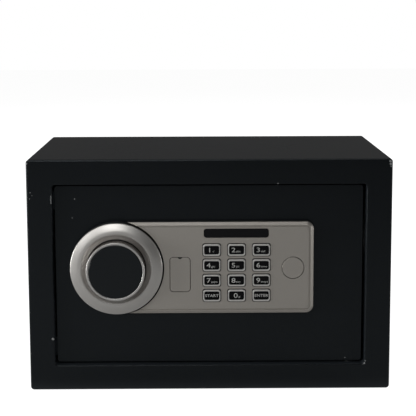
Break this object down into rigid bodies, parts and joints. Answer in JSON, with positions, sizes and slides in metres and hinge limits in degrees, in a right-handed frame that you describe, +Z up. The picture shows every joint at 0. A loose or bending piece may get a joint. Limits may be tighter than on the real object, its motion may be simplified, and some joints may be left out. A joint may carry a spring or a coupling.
{
  "type": "in room safe",
  "caption": "Small steel in-room safe with a recessed hinged door, a turning bolt knob, a numeric keypad and an emergency key lock.",
  "frame": {"origin": "centre of the cabinet's footprint, on the surface it stands on", "axes": "+X to the viewer's right, +Y into the safe towards its back, +Z up"},
  "size_m": [0.31, 0.218, 0.2],
  "materials": {
    "painted_steel": "near-black powder coat, fine grain, semi-matt",
    "felt": "dark needle felt",
    "zinc_steel": "bright zinc plated",
    "silver_plastic": "silver lacquer over moulded plastic, satin",
    "satin_metal": "satin silver, turned",
    "black_gloss": "black, glossy",
    "black_plastic": "black, moulded",
    "rubber": "moulded silicone",
    "circuit_board": "green solder mask",
    "brass": "machined",
    "red_plastic": "moulded",
    "cell_wrap": "printed foil sleeve, no marks",
    "wire_sleeve": "insulated leads"
  },
  "bodies": {
    "cabinet": {"cabinet_wrap": "painted_steel", "door_frame": "painted_steel", "back_panel": "painted_steel", "floor_mat": "felt", "upper_hinge_pin": "zinc_steel", "lower_hinge_pin": "zinc_steel"},
    "door": {"door_plate": "painted_steel", "lower_hinge_knuckle": "painted_steel", "upper_hinge_knuckle": "painted_steel", "dial_base": "black_plastic", "fascia_shell": "silver_plastic", "dial_ring": "satin_metal", "display_window": "black_gloss", "keypad_membrane": "rubber", "keypad_board": "circuit_board", "display_module": "black_plastic", "port_socket": "black_plastic", "lock_barrel": "zinc_steel", "lock_nut": "zinc_steel", "bolt_guide": "painted_steel", "left_carrier_stud": "zinc_steel", "right_carrier_stud": "zinc_steel", "solenoid_coil": "zinc_steel", "mechanism_cover": "painted_steel", "cover_screw_1": "zinc_steel", "cover_screw_2": "zinc_steel", "cover_screw_3": "zinc_steel", "cover_screw_4": "zinc_steel", "battery_tray": "black_plastic", "battery_1": "cell_wrap", "battery_2": "cell_wrap", "battery_3": "cell_wrap", "battery_4": "cell_wrap", "wire_loom": "wire_sleeve"},
    "knob": {"knob_body": "satin_metal", "knob_cap": "black_gloss", "knob_spindle": "zinc_steel", "drive_crank": "zinc_steel"},
    "bolts": {"bolt_carrier": "zinc_steel", "upper_bolt": "zinc_steel", "lower_bolt": "zinc_steel"},
    "plunger": {"solenoid_plunger": "zinc_steel"},
    "lock_plug": {"lock_plug": "brass", "lock_cam": "zinc_steel"},
    "port_cover": {"port_cover": "silver_plastic"},
    "keyhole_cap": {"keyhole_cap": "silver_plastic"},
    "battery_door": {"battery_door": "black_plastic"},
    "reset_button": {"reset_button": "red_plastic"},
    "key_1": {"key_1": "silver_plastic"},
    "key_2": {"key_2": "silver_plastic"},
    "key_3": {"key_3": "silver_plastic"},
    "key_4": {"key_4": "silver_plastic"},
    "key_5": {"key_5": "silver_plastic"},
    "key_6": {"key_6": "silver_plastic"},
    "key_7": {"key_7": "silver_plastic"},
    "key_8": {"key_8": "silver_plastic"},
    "key_9": {"key_9": "silver_plastic"},
    "key_start": {"key_start": "silver_plastic"},
    "key_0": {"key_0": "silver_plastic"},
    "key_enter": {"key_enter": "silver_plastic"}
  },
  "joints": [
    {"name": "door_swing", "type": "hinge", "parent": "cabinet", "child": "door", "pos_m": [0.12, -0.0865, 0.1], "axis": [0, 0, 1], "range_deg": [0, 100]},
    {"name": "knob_turn", "type": "hinge", "parent": "door", "child": "knob", "pos_m": [-0.0794, -0.11, 0.107], "axis": [0, 1, 0], "range_deg": [0, 60]},
    {"name": "bolt_slide", "type": "slide", "parent": "door", "child": "bolts", "axis": [-1, 0, 0], "range_m": [0, 0.012]},
    {"name": "plunger_drop", "type": "slide", "parent": "door", "child": "plunger", "axis": [0, 0, -1], "range_m": [0, 0.006]},
    {"name": "emergency_lock_turn", "type": "hinge", "parent": "door", "child": "lock_plug", "pos_m": [0.0709, -0.09, 0.1069], "axis": [0, 1, 0], "range_deg": [0, 90]},
    {"name": "port_cover_pull", "type": "slide", "parent": "door", "child": "port_cover", "axis": [0, -1, 0], "range_m": [0, 0.03]},
    {"name": "keyhole_cap_pull", "type": "slide", "parent": "door", "child": "keyhole_cap", "axis": [0, -1, 0], "range_m": [0, 0.03]},
    {"name": "battery_door_lift", "type": "slide", "parent": "door", "child": "battery_door", "axis": [0, 1, 0], "range_m": [0, 0.03]},
    {"name": "reset_press", "type": "slide", "parent": "door", "child": "reset_button", "axis": [0, -1, 0], "range_m": [0, 0.0012], "stiffness_N_per_m": 400},
    {"name": "key_1_press", "type": "slide", "parent": "door", "child": "key_1", "axis": [0, 1, 0], "range_m": [0, 0.001], "stiffness_N_per_m": 900},
    {"name": "key_2_press", "type": "slide", "parent": "door", "child": "key_2", "axis": [0, 1, 0], "range_m": [0, 0.001], "stiffness_N_per_m": 900},
    {"name": "key_3_press", "type": "slide", "parent": "door", "child": "key_3", "axis": [0, 1, 0], "range_m": [0, 0.001], "stiffness_N_per_m": 900},
    {"name": "key_4_press", "type": "slide", "parent": "door", "child": "key_4", "axis": [0, 1, 0], "range_m": [0, 0.001], "stiffness_N_per_m": 900},
    {"name": "key_5_press", "type": "slide", "parent": "door", "child": "key_5", "axis": [0, 1, 0], "range_m": [0, 0.001], "stiffness_N_per_m": 900},
    {"name": "key_6_press", "type": "slide", "parent": "door", "child": "key_6", "axis": [0, 1, 0], "range_m": [0, 0.001], "stiffness_N_per_m": 900},
    {"name": "key_7_press", "type": "slide", "parent": "door", "child": "key_7", "axis": [0, 1, 0], "range_m": [0, 0.001], "stiffness_N_per_m": 900},
    {"name": "key_8_press", "type": "slide", "parent": "door", "child": "key_8", "axis": [0, 1, 0], "range_m": [0, 0.001], "stiffness_N_per_m": 900},
    {"name": "key_9_press", "type": "slide", "parent": "door", "child": "key_9", "axis": [0, 1, 0], "range_m": [0, 0.001], "stiffness_N_per_m": 900},
    {"name": "key_start_press", "type": "slide", "parent": "door", "child": "key_start", "axis": [0, 1, 0], "range_m": [0, 0.001], "stiffness_N_per_m": 900},
    {"name": "key_0_press", "type": "slide", "parent": "door", "child": "key_0", "axis": [0, 1, 0], "range_m": [0, 0.001], "stiffness_N_per_m": 900},
    {"name": "key_enter_press", "type": "slide", "parent": "door", "child": "key_enter", "axis": [0, 1, 0], "range_m": [0, 0.001], "stiffness_N_per_m": 900}
  ],
  "couplings": [
    {"joint": "knob_turn", "follows": "bolt_slide", "rad_per_m": 87.266},
    {"joint": "plunger_drop", "follows": "bolt_slide", "ratio": 0.5}
  ]
}
